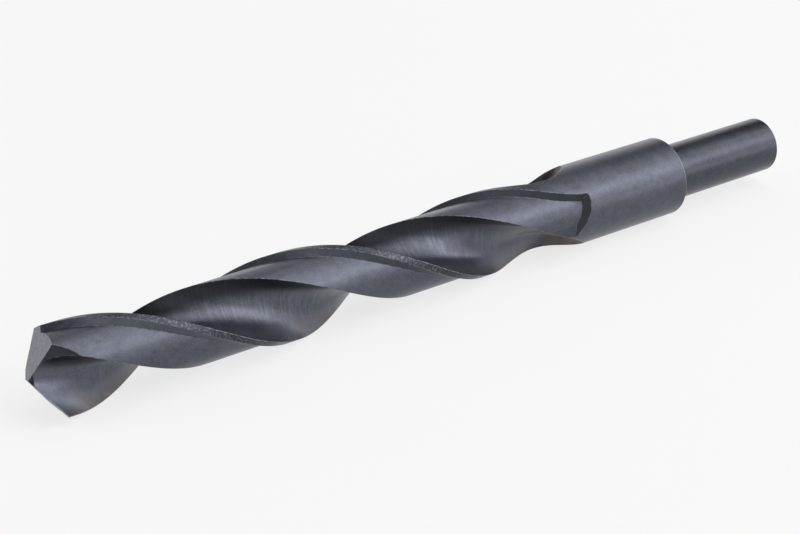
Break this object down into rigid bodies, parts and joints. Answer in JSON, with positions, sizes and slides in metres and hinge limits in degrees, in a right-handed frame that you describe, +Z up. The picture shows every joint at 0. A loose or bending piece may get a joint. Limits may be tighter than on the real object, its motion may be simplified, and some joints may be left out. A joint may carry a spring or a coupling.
{
  "type": "twist drill bit",
  "caption": "High-speed steel twist drill for metal, dark oxide finish, with spiral flutes, ground point and a reduced straight shank.",
  "frame": {"origin": "centre of the shank's flat end face, on the drill's axis", "axes": "+X along the drill's axis from the shank to the point, +Z up with the drill lying on its side, +Y to complete a right-handed frame"},
  "size_m": [0.191, 0.018, 0.018],
  "materials": {
    "oxide_steel": "steam-tempered dark blue-grey oxide over ground high-speed steel, semi-matt"
  },
  "bodies": {
    "root": {"drill_bit": "oxide_steel"}
  },
  "joints": []
}
